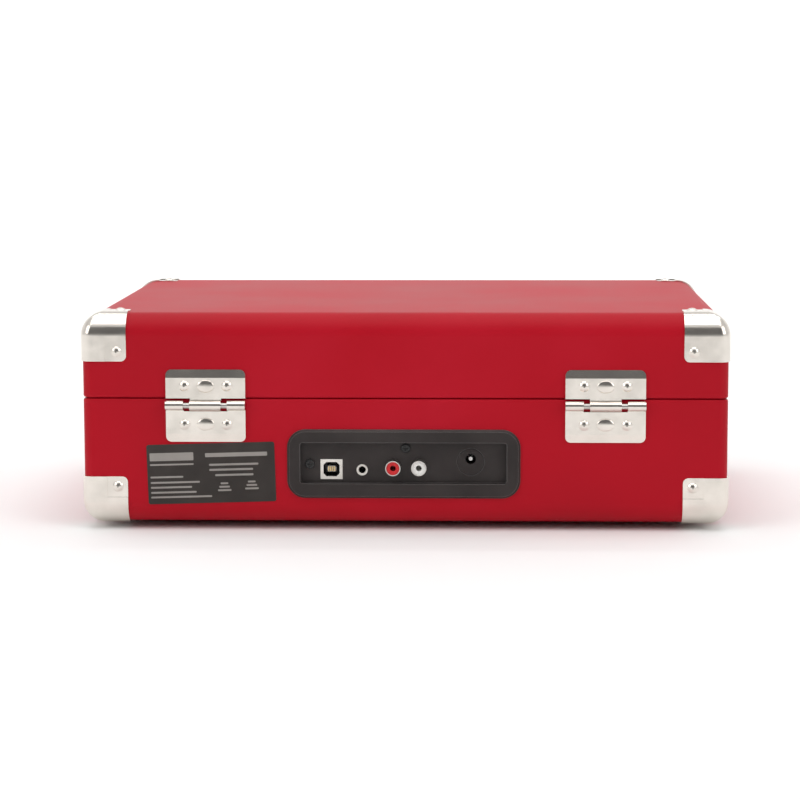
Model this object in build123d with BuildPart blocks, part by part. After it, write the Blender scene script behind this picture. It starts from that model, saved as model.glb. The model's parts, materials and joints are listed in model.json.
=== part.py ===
from build123d import *
import os
from math import cos, radians, sin, sqrt

os.makedirs("parts", exist_ok=True)

# A suitcase record player. Millimetres, +Z up, the front (handle, latches, speakers) towards -Y,
# the hinges and sockets towards +Y. The origin is under the middle of the whole object, on the
# surface that its feet stand on.

# Case
CASE_W = 352.0
CASE_D = 250.0
BASE_H = 69.0
SEAM = 0.4
LID_H = 46.0
CASE_H = BASE_H + SEAM + LID_H
EDGE_R = 12.0
CORNER_R = 5.0
LIP_R = 1.3
SKIN = 0.8
BOARD = 7.0
PANEL_T = 5.0
LINING = 0.6
WALL = SKIN + BOARD
ROOF = SKIN + PANEL_T
FOOT_H = 3.8
FOOT_R = 9.0
FOOT_IN = 45.0

# Corner protectors and their rivets
METAL = 0.9
LEG_X = 24.4
LEG_Y = 24.4
LEG_Z = 26.0
LOBE_R = 3.0
PAD = 10.0
PAD_DEEP = 0.45
RIVET_R = 2.9
RIVET_H = 1.4
RIVET_IN = 19.0
RIVET_IN_Z = 20.6

# Rear hinges
HINGE_X = (108.3, -109.3)
HINGE_W = 43.5
HINGE_LOW = 45.4
HINGE_HIGH = 85.1
HINGE_R = 3.0
LEAF_T = 1.5
LEAF_EDGE_T = 0.7
PIN_UP = 65.6
PIN_OUT = 3.0
KNUCKLE_R = 2.75
HINGE_PIN_R = 1.5
RUN = 0.05
OUTER_KNUCKLE = 12.0
CENTRE_KNUCKLE = 8.5
HINGE_RIVET = (11.6, 10.6)

# Handle and latches
HANDLE_HALF = 52.0
HANDLE_UP = 50.0
HANDLE_DROP = 26.0
HANDLE_OUT = 9.0
EYE_R = 6.5
EYE_L = 10.0
HANDLE_PIN_R = 2.5
EAR_T = 2.4
LATCH_X = 74.0
LATCH_W = 20.0
LATCH_UP = 50.0
LATCH_OUT = 4.4
LATCH_PIN_R = 1.2
LATCH_TOP = 80.0

# Sockets at the back
BEZEL = (127.3, 37.8)
BEZEL_AT = (0.35, 33.4)
BEZEL_R = 10.0
BEZEL_PROUD = 1.8
RECESS = (112.8, 22.5)
RECESS_AT = (0.5, 33.9)
RECESS_DEEP = 4.0
SOCKET_WALL = 2.5
USB_AT = (39.9, 30.1)
USB = (12.0, 10.9)
USB_MOUTH = (8.8, 7.9)
AUX_AT = (23.1, 29.8)
AUX_R = 3.05
AUX_BORE_R = 1.8
RCA_AT = ((6.1, 31.4), (-8.0, 31.5))
RCA_R = 4.15
RCA_PROUD = 6.5
RCA_WALL = 0.5
RCA_NECK_R = 3.6
RCA_NECK_L = 6.0
DC_AT = (-36.2, 34.2)
DC_R = 7.35
DC_HOLE_UP = 1.7
DC_HOLE_R = 2.85
PANEL_SCREWS_AT = ((51.7, 33.0), (-0.7, 41.8))
LABEL = (70.2, 32.9)
LABEL_AT = (105.7, 28.0)
LABEL_TILT = 1.7
LABEL_T = 0.25

# Speakers
GRILLE = (62.0, 38.0)
GRILLE_AT = (118.0, 38.0)
GRILLE_T = 2.0
GRILLE_SLOTS = 8
DRIVER_R = 25.5
DRIVER_UP = 35.0

# Deck
DECK_DOWN = 4.0
DECK_T = 3.0
DECK_GAP = 0.3
WELL_R = 102.0
WELL_DEEP = 1.0

# Platter and its drive
SPINDLE_X = -22.0
SPINDLE_IN = -10.0
SPINDLE_R = 3.6
SHAFT_R = 4.0
PLATTER_R = 99.0
PLATTER_TOP = 10.8
PLATTER_WEB = 2.5
MAT_T = 2.0
SPINDLE_TOP = 25.8
SPINDLE_TIP = 2.6
DRIVE_R = 75.0
PULLEY_R = 5.0
PULLEY_FROM_SPINDLE = 88.0
PULLEY_ANGLE = 135.0
BELT_T = 0.7
BELT_H = 3.4
BELT_CLEAR = 0.3
MOTOR_R = 16.0
MOTOR_H = 24.0
MOTOR_SHELL = 2.0
ROTOR_R = 13.0
ROTOR_H = 13.0
ROTOR_AIR = 1.0

# Tonearm
ARM_X = 128.0
ARM_IN = 86.0
ARM_LENGTH = 186.0
ARM_PARK = 2.5
ARM_UP = 23.0
TUBE_R = 3.5
ARM_REST_AT = 118.0
CUE_BAR_AT = 21.0
SWIVEL_RANGE = 44.0
YOKE_GAP = 12.4

# Controls on the deck
CONTROL_X = 154.0
KNOB_IN = -62.0
SPEED_IN = 12.0
SPEED_TRAVEL = 12.0
STOP_IN = 46.0
STOP_TRAVEL = 6.0

# Places worked out from the dimensions above
FRONT_PROUD = HANDLE_OUT + EYE_R
REAR_PROUD = PIN_OUT + KNUCKLE_R
CASE_YC = (FRONT_PROUD - REAR_PROUD) / 2
CASE_Z = FOOT_H
CASE_ZC = CASE_Z + CASE_H / 2
YF = CASE_YC - CASE_D / 2
YR = CASE_YC + CASE_D / 2
BASE_TOP = CASE_Z + BASE_H
LID_Z = BASE_TOP + SEAM
CASE_TOP = CASE_Z + CASE_H
DECK_Z = BASE_TOP - DECK_DOWN
INNER_W = CASE_W - 2 * WALL
INNER_D = CASE_D - 2 * WALL
PIN_Z = CASE_Z + PIN_UP
PIN_Y = YR + PIN_OUT
HANDLE_Y = YF - HANDLE_OUT
HANDLE_Z = CASE_Z + HANDLE_UP
LATCH_Y = YF - LATCH_OUT
LATCH_Z = CASE_Z + LATCH_UP
SOCKET_Y = YR + BEZEL_PROUD - RECESS_DEEP
SPINDLE_Y = CASE_YC + SPINDLE_IN
PULLEY_X = SPINDLE_X + PULLEY_FROM_SPINDLE * cos(radians(PULLEY_ANGLE))
PULLEY_Y = SPINDLE_Y + PULLEY_FROM_SPINDLE * sin(radians(PULLEY_ANGLE))
BELT_Z = DECK_Z + 3.2
ARM_Y = CASE_YC + ARM_IN
ARM_Z = DECK_Z + ARM_UP
ARM = Plane(
    (ARM_X, ARM_Y, ARM_Z),
    x_dir=(sin(radians(ARM_PARK)), -cos(radians(ARM_PARK)), 0),
    z_dir=(0, 0, 1),
)
TURNTABLE = Plane((ARM_X, ARM_Y, DECK_Z), x_dir=ARM.x_dir, z_dir=(0, 0, 1))


def upright(y, x=0.0, z=0.0):
    """An upright plane facing the front, its x along +X and its y along +Z."""
    return Plane((x, y, z), x_dir=(1, 0, 0), z_dir=(0, -1, 0))


def sideways(x, y=0.0, z=0.0):
    """An upright plane facing +X, its x along +Y and its y along +Z."""
    return Plane((x, y, z), x_dir=(0, 1, 0), z_dir=(1, 0, 0))


def level(z, x=0.0, y=0.0):
    """A level plane at a height."""
    return Plane((x, y, z), x_dir=(1, 0, 0), z_dir=(0, 0, 1))


def across_arm(distance):
    """A plane square to the parked tonearm, its y up."""
    return Plane(ARM.from_local_coords((distance, 0, 0)), x_dir=ARM.y_dir, z_dir=ARM.x_dir)


def beside_arm(side):
    """An upright plane along the parked tonearm, its x towards the headshell and its y up."""
    return Plane(ARM.from_local_coords((0, side, 0)), x_dir=ARM.x_dir, z_dir=-ARM.y_dir)


def case_block(grow):
    """The closed case as one block, moved out by grow on every side."""
    with BuildPart() as block:
        with BuildSketch(upright(CASE_YC, z=CASE_ZC)):
            RectangleRounded(CASE_W + 2 * grow, CASE_H + 2 * grow, EDGE_R + grow)
        extrude(amount=CASE_D / 2 + grow, both=True)
        with BuildSketch(sideways(0, CASE_YC, CASE_ZC)):
            RectangleRounded(CASE_D + 2 * grow, CASE_H + 2 * grow, EDGE_R + grow)
        extrude(amount=CASE_W / 2 + grow, both=True, mode=Mode.INTERSECT)
        fillet(block.edges().filter_by(Axis.Z), CORNER_R + grow)
    return block.part


def case_slice(grow, low, high):
    """The stretch of the case block between two heights."""
    with BuildPart() as piece:
        add(case_block(grow))
        with BuildSketch(level(low, y=CASE_YC)):
            Rectangle(CASE_W + 40, CASE_D + 40)
        extrude(amount=high - low, mode=Mode.INTERSECT)
    return piece.part


def cut_block(width, depth, low, high, radius):
    """A round-cornered upright block at the case's centre, for cavities."""
    with BuildPart() as block:
        with BuildSketch(level(low, y=CASE_YC)):
            RectangleRounded(width, depth, radius)
        extrude(amount=high - low)
    return block.part


def rivet_head(radius, height):
    """A low dome with a thin rim, standing on the plane z = 0."""
    rim = height * 0.15
    ball_r = (radius**2 + (height - rim) ** 2) / (2 * (height - rim))
    middle = radius / 2
    with BuildPart() as head:
        with BuildSketch(Plane.XZ):
            with BuildLine():
                Polyline((0, height), (0, 0), (radius, 0), (radius, rim))
                ThreePointArc(
                    (radius, rim),
                    (middle, height - ball_r + sqrt(ball_r**2 - middle**2)),
                    (0, height),
                )
            make_face()
        revolve(axis=Axis.Z)
    return head.part


def cross_screw(head_r, head_h, shank_r, shank_l):
    """A pan-head cross-recess screw, its head above z = 0 and its shank below."""
    with BuildPart() as screw:
        Cylinder(head_r, head_h, align=(Align.CENTER, Align.CENTER, Align.MIN))
        fillet(screw.edges().group_by(Axis.Z)[-1], head_h * 0.55)
        Cylinder(shank_r, shank_l, align=(Align.CENTER, Align.CENTER, Align.MAX))
        with BuildSketch(level(head_h * 0.35)):
            Rectangle(head_r * 1.1, head_r * 0.26)
            Rectangle(head_r * 0.26, head_r * 1.1)
        extrude(amount=head_h, mode=Mode.SUBTRACT)
    return screw.part


def placed(shape, planes):
    """Copies of one shape, one on each plane."""
    return [plane.location * shape for plane in planes]


def finish_part(part, name):
    """Labels a finished sub-part and writes its file."""
    part.label = name
    export_step(part, f"parts/{name}.step")


# ---------------------------------------------------------------- case

LID_CAVITY_TOP = CASE_TOP - ROOF
FLOOR_Z = CASE_Z + ROOF
HATCH = (236.0, 136.0)
HATCH_LIP = 8.0
HATCH_T = 2.6
REBATE = 3.0
BLOCK = 14.0
DECK_SCREWS_AT = [
    (sx * (INNER_W / 2 - BLOCK / 2), CASE_YC + sy * (INNER_D / 2 - BLOCK / 2))
    for sx in (-1, 1)
    for sy in (-1, 1)
]
HATCH_SCREWS_AT = [
    (x * (HATCH[0] - HATCH_LIP) / 2, CASE_YC + y * (HATCH[1] - HATCH_LIP) / 2)
    for x in (-1, 0, 1)
    for y in (-1, 1)
]
SCREW_R = 1.5

with BuildPart() as lid_box:
    add(case_slice(-SKIN, LID_Z + SKIN, CASE_TOP))
    add(cut_block(INNER_W, INNER_D, LID_Z, LID_CAVITY_TOP, 4), mode=Mode.SUBTRACT)
finish_part(lid_box.part, "lid_box")

with BuildPart() as lid_leatherette:
    add(case_slice(0, LID_Z, CASE_TOP))
    fillet(lid_leatherette.edges().group_by(Axis.Z)[0], LIP_R)
    add(case_slice(-SKIN, LID_Z + SKIN, CASE_TOP), mode=Mode.SUBTRACT)
    add(cut_block(INNER_W, INNER_D, LID_Z - 1, LID_CAVITY_TOP, 4), mode=Mode.SUBTRACT)
finish_part(lid_leatherette.part, "lid_leatherette")

with BuildPart() as lid_lining:
    add(cut_block(INNER_W, INNER_D, LID_Z + 1.5, LID_CAVITY_TOP, 4))
    add(
        cut_block(INNER_W - 2 * LINING, INNER_D - 2 * LINING, LID_Z, LID_CAVITY_TOP - LINING, 3.4),
        mode=Mode.SUBTRACT,
    )
finish_part(lid_lining.part, "lid_lining")


def base_openings():
    """Cutters for the sockets' window, the two speaker windows and the hatch."""
    with BuildPart() as cutters:
        with BuildSketch(upright(YR + 2)):
            with Locations((RECESS_AT[0], CASE_Z + RECESS_AT[1])):
                Rectangle(RECESS[0] + 4, RECESS[1] + 4)
        extrude(amount=WALL + 4)
        with BuildSketch(upright(YF - 2)):
            with Locations(*[(sx * GRILLE_AT[0], CASE_Z + GRILLE_AT[1]) for sx in (-1, 1)]):
                RectangleRounded(GRILLE[0] - 12, GRILLE[1] - 8, 4)
        extrude(amount=-(WALL + 4))
        with BuildSketch(level(CASE_Z - 2, y=CASE_YC)):
            Rectangle(HATCH[0] - 2 * HATCH_LIP, HATCH[1] - 2 * HATCH_LIP)
        extrude(amount=ROOF + 4)
        with BuildSketch(level(CASE_Z - 2, y=CASE_YC)):
            Rectangle(HATCH[0], HATCH[1])
        extrude(amount=REBATE + 2)
    return cutters.part


OPENINGS = base_openings()

with BuildPart() as base_box:
    add(case_slice(-SKIN, CASE_Z, BASE_TOP - SKIN))
    add(cut_block(INNER_W, INNER_D, FLOOR_Z, BASE_TOP, 4), mode=Mode.SUBTRACT)
    with BuildSketch(level(FLOOR_Z)):
        with Locations(*DECK_SCREWS_AT):
            Rectangle(BLOCK, BLOCK)
    extrude(amount=DECK_Z - DECK_T - FLOOR_Z)
    add(OPENINGS, mode=Mode.SUBTRACT)
    with BuildSketch(level(DECK_Z - DECK_T)):
        with Locations(*DECK_SCREWS_AT):
            Circle(SCREW_R + 0.1)
    extrude(amount=-12, mode=Mode.SUBTRACT)
    with BuildSketch(level(CASE_Z)):
        with Locations(*HATCH_SCREWS_AT):
            Circle(SCREW_R + 0.1)
    extrude(amount=ROOF, mode=Mode.SUBTRACT)
finish_part(base_box.part, "base_box")

with BuildPart() as base_leatherette:
    add(case_slice(0, CASE_Z, BASE_TOP))
    fillet(base_leatherette.edges().group_by(Axis.Z)[-1], LIP_R)
    add(case_slice(-SKIN, CASE_Z, BASE_TOP - SKIN), mode=Mode.SUBTRACT)
    add(cut_block(INNER_W, INNER_D, FLOOR_Z, BASE_TOP + 1, 4), mode=Mode.SUBTRACT)
    add(OPENINGS, mode=Mode.SUBTRACT)
finish_part(base_leatherette.part, "base_leatherette")

with BuildPart() as bottom_hatch:
    with BuildSketch(level(CASE_Z + REBATE - HATCH_T, y=CASE_YC)):
        RectangleRounded(HATCH[0] - 0.6, HATCH[1] - 0.6, 2)
    extrude(amount=HATCH_T)
    with BuildSketch(level(CASE_Z)):
        with Locations(*HATCH_SCREWS_AT):
            Circle(SCREW_R + 0.2)
    extrude(amount=REBATE + 1, mode=Mode.SUBTRACT)
    with BuildSketch(level(CASE_Z, y=CASE_YC)):
        with GridLocations(9, 40, 8, 2):
            SlotOverall(30, 3, rotation=90)
    extrude(amount=REBATE + 1, mode=Mode.SUBTRACT)
finish_part(bottom_hatch.part, "bottom_hatch")

FEET_AT = [
    (sx * (CASE_W / 2 - FOOT_IN), CASE_YC + sy * (CASE_D / 2 - FOOT_IN))
    for sx in (-1, 1)
    for sy in (-1, 1)
]

with BuildPart() as feet:
    with BuildSketch(level(0)):
        with Locations(*FEET_AT):
            Circle(FOOT_R)
    extrude(amount=FOOT_H)
    fillet(feet.edges().group_by(Axis.Z)[0], 1.2)
finish_part(feet.part, "feet")

with BuildPart() as case_screws:
    add(
        placed(
            cross_screw(3.0, 1.7, SCREW_R, DECK_T + 9),
            [level(DECK_Z, x, y) for x, y in DECK_SCREWS_AT],
        )
    )
    add(
        placed(
            cross_screw(3.0, 1.7, SCREW_R, HATCH_T + 2),
            [
                Plane((x, y, CASE_Z + REBATE - HATCH_T), x_dir=(1, 0, 0), z_dir=(0, 0, -1))
                for x, y in HATCH_SCREWS_AT
            ],
        )
    )
finish_part(case_screws.part, "case_screws")

# ---------------------------------------------------------------- corner protectors


def protector_planes(sx, sy, sz):
    """The three planes on a protector's pads where its rivets sit: side, front or rear, top or bottom."""
    out = METAL
    x = sx * (CASE_W / 2 - RIVET_IN)
    y = CASE_YC + sy * (CASE_D / 2 - RIVET_IN)
    z = CASE_ZC + sz * (CASE_H / 2 - RIVET_IN_Z)
    return [
        Plane((sx * (CASE_W / 2 + out), y, z), x_dir=(0, sx, 0), z_dir=(sx, 0, 0)),
        Plane((x, CASE_YC + sy * (CASE_D / 2 + out), z), x_dir=(-sy, 0, 0), z_dir=(0, sy, 0)),
        Plane((x, y, CASE_ZC + sz * (CASE_H / 2 + out)), x_dir=(1, 0, 0), z_dir=(0, 0, sz)),
    ]


PROTECTOR_SHELL = case_block(METAL) - case_block(0)


def protector(sx, sy, sz):
    """A ball-cornered sheet-metal protector with three lobes, for one corner of the case."""
    with BuildPart() as piece:
        with BuildSketch(level(CASE_ZC + sz * (CASE_H / 2 - LEG_Z))):
            with Locations((sx * (CASE_W / 2 - LEG_X + 20), CASE_YC + sy * (CASE_D / 2 - LEG_Y + 20))):
                Rectangle(40, 40)
        extrude(amount=40, dir=(0, 0, sz))
        inner = (sx * (CASE_W / 2 - LEG_X), CASE_YC + sy * (CASE_D / 2 - LEG_Y))
        inner_z = CASE_ZC + sz * (CASE_H / 2 - LEG_Z)
        near = piece.edges().sort_by_distance((inner[0], inner[1], inner_z))[:3]
        fillet(near, LOBE_R)
        add(PROTECTOR_SHELL, mode=Mode.INTERSECT)
        for plane in protector_planes(sx, sy, sz):
            with BuildSketch(plane.offset(-PAD_DEEP)):
                Rectangle(PAD + 2, PAD + 2)
            extrude(amount=PAD, mode=Mode.SUBTRACT)
    return piece.part


PROTECTORS = {
    f"protector_{half}_{end}_{side}": (sx, sy, sz)
    for half, sz in (("lid", 1), ("base", -1))
    for end, sy in (("front", -1), ("rear", 1))
    for side, sx in (("left", -1), ("right", 1))
}

for node_name, signs in PROTECTORS.items():
    finish_part(protector(*signs), node_name)


def pad_floors(half):
    """The planes on the pressed pads of one half's protectors."""
    return [
        plane.offset(-PAD_DEEP)
        for name, signs in PROTECTORS.items()
        if half in name
        for plane in protector_planes(*signs)
    ]


def hinge_rivet_planes(up):
    """The planes on one row of hinge leaves where their rivets sit."""
    return [
        Plane((x + side * HINGE_RIVET[0], YR + LEAF_T, PIN_Z + up), x_dir=(-1, 0, 0), z_dir=(0, 1, 0))
        for x in HINGE_X
        for side in (-1, 1)
    ]


HEAD = rivet_head(RIVET_R, RIVET_H)

with BuildPart() as lid_rivets:
    add(placed(HEAD, pad_floors("lid") + hinge_rivet_planes(HINGE_RIVET[1])))
finish_part(lid_rivets.part, "lid_rivets")

with BuildPart() as base_rivets:
    add(placed(HEAD, pad_floors("base") + hinge_rivet_planes(-HINGE_RIVET[1])))
finish_part(base_rivets.part, "base_rivets")

# ---------------------------------------------------------------- hinges

HINGE_BAND = 4.5
KNUCKLE_CLEAR = 0.6
DOME_UP = 10.4
DOME = scale(Sphere(1), by=(4.8, 0.9, 3.5))


def hinge_leaf(x, far, near):
    """A leaf on the rear face with a raised dome, its far edge bent down towards the case."""
    side = 1 if far > PIN_Z else -1
    with BuildPart() as leaf:
        with BuildSketch(upright(YR, x, (near + far) / 2)) as outline:
            Rectangle(HINGE_W, abs(far - near))
            fillet(outline.vertices().sort_by(Axis.Y, reverse=side > 0)[:2], HINGE_R)
        extrude(amount=-LEAF_T)
        with BuildSketch(sideways(x - HINGE_W / 2)):
            with BuildLine():
                Polyline(
                    (YR, near),
                    (YR + LEAF_T, near),
                    (YR + LEAF_T, far - side * HINGE_BAND),
                    (YR + LEAF_EDGE_T, far),
                    (YR, far),
                    close=True,
                )
            make_face()
        extrude(amount=HINGE_W, mode=Mode.INTERSECT)
        add(Location((x, YR + LEAF_T, PIN_Z + side * DOME_UP)) * DOME)
    return leaf.part


def knuckle(x_low, x_high, bore=True):
    """A rolled barrel round the hinge pin."""
    with BuildPart() as barrel:
        with BuildSketch(sideways(x_low, PIN_Y, PIN_Z)):
            Circle(KNUCKLE_R)
            if bore:
                Circle(HINGE_PIN_R + RUN, mode=Mode.SUBTRACT)
        extrude(amount=x_high - x_low)
    return barrel.part


def web(x_low, x_high, z_low, z_high):
    """The stretch of leaf that runs from the flat part into a barrel."""
    with BuildPart() as strip:
        with BuildSketch(upright(YR + 0.3, (x_low + x_high) / 2, (z_low + z_high) / 2)):
            Rectangle(x_high - x_low, z_high - z_low)
        extrude(amount=0.3 - LEAF_T)
        with BuildSketch(sideways(x_low, PIN_Y, PIN_Z)):
            Circle(HINGE_PIN_R + RUN)
        extrude(amount=x_high - x_low, mode=Mode.SUBTRACT)
    return strip.part


LEAF_EDGE = KNUCKLE_R + KNUCKLE_CLEAR
HINGE_LEAF_LOW = CASE_Z + HINGE_LOW
HINGE_LEAF_HIGH = CASE_Z + HINGE_HIGH

with BuildPart() as hinge_base_leaves:
    for x in HINGE_X:
        add(hinge_leaf(x, HINGE_LEAF_LOW, PIN_Z - LEAF_EDGE))
        for side in (-1, 1):
            ends = sorted((x + side * OUTER_KNUCKLE, x + side * HINGE_W / 2))
            add(knuckle(*ends))
            add(web(*ends, PIN_Z - LEAF_EDGE - 1, PIN_Z))
finish_part(hinge_base_leaves.part, "hinge_base_leaves")

with BuildPart() as hinge_lid_leaves:
    for x in HINGE_X:
        add(hinge_leaf(x, HINGE_LEAF_HIGH, PIN_Z + LEAF_EDGE + SEAM))
        ends = (x - CENTRE_KNUCKLE, x + CENTRE_KNUCKLE)
        add(knuckle(*ends))
        add(web(*ends, PIN_Z, PIN_Z + LEAF_EDGE + SEAM + 1))
finish_part(hinge_lid_leaves.part, "hinge_lid_leaves")

with BuildPart() as hinge_pins:
    for x in HINGE_X:
        with BuildSketch(sideways(x - HINGE_W / 2, PIN_Y, PIN_Z)):
            Circle(HINGE_PIN_R)
        extrude(amount=HINGE_W)
finish_part(hinge_pins.part, "hinge_pins")

# ---------------------------------------------------------------- sockets at the back


def at_rear(place):
    """A point measured on the rear face from the case's bottom edge, as sketch coordinates."""
    return (place[0], CASE_Z + place[1])


with BuildPart() as connection_panel:
    with BuildSketch(upright(YR)):
        with Locations(at_rear(BEZEL_AT)):
            RectangleRounded(*BEZEL, BEZEL_R)
    extrude(amount=-BEZEL_PROUD)
    chamfer(connection_panel.edges().group_by(Axis.Y)[-1], 1.2)
    with BuildSketch(upright(YR)):
        with Locations(at_rear(RECESS_AT)):
            Rectangle(RECESS[0] + 3.4, RECESS[1] + 3.4)
    extrude(amount=WALL + 1)
    with BuildSketch(upright(YR + BEZEL_PROUD)):
        with Locations(at_rear(RECESS_AT)):
            RectangleRounded(*RECESS, 1.5)
    extrude(amount=RECESS_DEEP, mode=Mode.SUBTRACT)
    with BuildSketch(upright(SOCKET_Y - SOCKET_WALL)):
        with Locations(at_rear(RECESS_AT)):
            RectangleRounded(*RECESS, 1.5)
    extrude(amount=WALL + 4, mode=Mode.SUBTRACT)
    with BuildSketch(upright(SOCKET_Y + 1)):
        with Locations(at_rear(USB_AT)):
            Rectangle(USB[0] + 0.1, USB[1] + 0.1)
        with Locations(at_rear(AUX_AT)):
            Circle(AUX_R + 0.05)
        with Locations(*[at_rear(place) for place in RCA_AT]):
            Circle(RCA_NECK_R + RUN)
        with Locations(at_rear(DC_AT)):
            Circle(DC_R + 0.05)
        with Locations(*[at_rear(place) for place in PANEL_SCREWS_AT]):
            Circle(SCREW_R - 0.2)
    extrude(amount=SOCKET_WALL + 2, mode=Mode.SUBTRACT)
finish_part(connection_panel.part, "connection_panel")

with BuildPart() as panel_screws:
    add(
        placed(
            cross_screw(2.6, 1.5, SCREW_R - 0.3, SOCKET_WALL + 4),
            [
                Plane((x, SOCKET_Y, CASE_Z + z), x_dir=(-1, 0, 0), z_dir=(0, 1, 0))
                for x, z in PANEL_SCREWS_AT
            ],
        )
    )
finish_part(panel_screws.part, "panel_screws")

USB_DEPTH = 13.0
TONGUE = (5.6, 3.2)

with BuildPart() as usb_socket:
    with BuildSketch(upright(SOCKET_Y + 0.4)):
        with Locations(at_rear(USB_AT)):
            Rectangle(*USB)
    extrude(amount=USB_DEPTH)
    with BuildSketch(upright(SOCKET_Y + 0.4)) as usb_mouth:
        with Locations(at_rear(USB_AT)):
            Rectangle(*USB_MOUTH)
        chamfer(usb_mouth.vertices().group_by(Axis.Z)[-1], 1.6)
    extrude(amount=USB_DEPTH - 2, mode=Mode.SUBTRACT)
    with BuildSketch(upright(SOCKET_Y - USB_DEPTH + 2.4)):
        with Locations(at_rear(USB_AT)):
            Rectangle(*TONGUE)
    extrude(amount=-(USB_DEPTH - 4))
finish_part(usb_socket.part, "usb_socket")

with BuildPart() as aux_jack:
    with BuildSketch(upright(SOCKET_Y + 0.9)):
        with Locations(at_rear(AUX_AT)):
            Circle(AUX_R)
    extrude(amount=0.9 + SOCKET_WALL)
    with BuildSketch(upright(SOCKET_Y - SOCKET_WALL)):
        with Locations(at_rear(AUX_AT)):
            Rectangle(8, 8)
    extrude(amount=12)
    with BuildSketch(upright(SOCKET_Y + 0.9)):
        with Locations(at_rear(AUX_AT)):
            Circle(AUX_BORE_R)
    extrude(amount=13.5, mode=Mode.SUBTRACT)
    chamfer(aux_jack.faces().sort_by(Axis.Y)[-1].inner_wires()[0].edges(), 0.3)
finish_part(aux_jack.part, "aux_jack")

def rca_sketch(y, radius):
    """A round at each phono socket, on an upright plane."""
    with BuildSketch(upright(y)) as rounds:
        with Locations(*[at_rear(place) for place in RCA_AT]):
            Circle(radius)
    return rounds.sketch


with BuildPart() as rca_shells:
    extrude(rca_sketch(SOCKET_Y + RCA_PROUD, RCA_R), RCA_PROUD)
    extrude(rca_sketch(SOCKET_Y, RCA_NECK_R), RCA_NECK_L)
    extrude(rca_sketch(SOCKET_Y + RCA_PROUD, RCA_R - RCA_WALL), RCA_PROUD - RCA_WALL, mode=Mode.SUBTRACT)
    extrude(
        rca_sketch(SOCKET_Y + RCA_WALL, RCA_NECK_R - RCA_WALL),
        RCA_WALL + RCA_NECK_L,
        mode=Mode.SUBTRACT,
    )
finish_part(rca_shells.part, "rca_shells")


def rca_insert(place):
    """The coloured insulator inside one phono socket, with the hole for the plug's pin."""
    front = RCA_PROUD - 0.6
    with BuildPart() as insert:
        with BuildSketch(upright(SOCKET_Y + front)):
            with Locations(at_rear(place)):
                Circle(RCA_R - RCA_WALL)
        extrude(amount=front - RCA_WALL)
        with BuildSketch(upright(SOCKET_Y + RCA_WALL)):
            with Locations(at_rear(place)):
                Circle(RCA_NECK_R - RCA_WALL)
        extrude(amount=RCA_WALL + RCA_NECK_L + 1)
        with BuildSketch(upright(SOCKET_Y + RCA_PROUD)):
            with Locations(at_rear(place)):
                Circle(1.6)
        extrude(amount=9, mode=Mode.SUBTRACT)
    return insert.part


finish_part(rca_insert(RCA_AT[0]), "rca_insert_red")
finish_part(rca_insert(RCA_AT[1]), "rca_insert_white")

with BuildPart() as dc_jack:
    with BuildSketch(upright(SOCKET_Y + 0.3)):
        with Locations(at_rear(DC_AT)):
            Circle(DC_R)
    extrude(amount=0.3 + SOCKET_WALL + 9)
    fillet(dc_jack.edges().group_by(Axis.Y)[-1], 0.25)
    with BuildSketch(upright(SOCKET_Y + 1)):
        with Locations(at_rear((DC_AT[0], DC_AT[1] + DC_HOLE_UP))):
            Circle(DC_HOLE_R)
    extrude(amount=10, mode=Mode.SUBTRACT)
    with BuildSketch(upright(SOCKET_Y - 9)):
        with Locations(at_rear((DC_AT[0], DC_AT[1] + DC_HOLE_UP))):
            Circle(1.05)
    extrude(amount=-8.2)
finish_part(dc_jack.part, "dc_jack")

with BuildPart() as rating_label:
    with BuildSketch(upright(YR)):
        with Locations(at_rear(LABEL_AT)):
            RectangleRounded(*LABEL, 1.2, rotation=-LABEL_TILT)
    extrude(amount=-LABEL_T)
finish_part(rating_label.part, "rating_label")

BOARD_Z = CASE_Z + 20

with BuildPart() as main_board:
    with BuildSketch(level(BOARD_Z, 0, YR - 42)):
        Rectangle(118, 46)
    extrude(amount=1.6)
    with BuildSketch(level(BOARD_Z + 1.6, 0, YR - 42)):
        with Locations((-40, -8), (-22, -8), (24, -10)):
            Circle(5)
    extrude(amount=12)
    with BuildSketch(level(BOARD_Z + 1.6, 0, YR - 42)):
        with Locations((4, 0), (40, 4)):
            Rectangle(14, 10)
        with Locations((-50, 10)):
            Rectangle(8, 16)
    extrude(amount=4)
finish_part(main_board.part, "main_board")

# ---------------------------------------------------------------- speakers

with BuildPart() as speaker_grilles:
    with BuildSketch(upright(YF)):
        with Locations(*[(sx * GRILLE_AT[0], CASE_Z + GRILLE_AT[1]) for sx in (-1, 1)]):
            RectangleRounded(*GRILLE, 6)
    extrude(amount=GRILLE_T)
    fillet(speaker_grilles.edges().group_by(Axis.Y)[0], 0.9)
    with BuildSketch(upright(YF + 1)):
        for sx in (-1, 1):
            with Locations((sx * GRILLE_AT[0], CASE_Z + GRILLE_AT[1])):
                with GridLocations(1, (GRILLE[1] - 10) / (GRILLE_SLOTS - 1), 1, GRILLE_SLOTS):
                    SlotOverall(GRILLE[0] - 14, 2.2)
    extrude(amount=GRILLE_T + 2, mode=Mode.SUBTRACT)
finish_part(speaker_grilles.part, "speaker_grilles")


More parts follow.
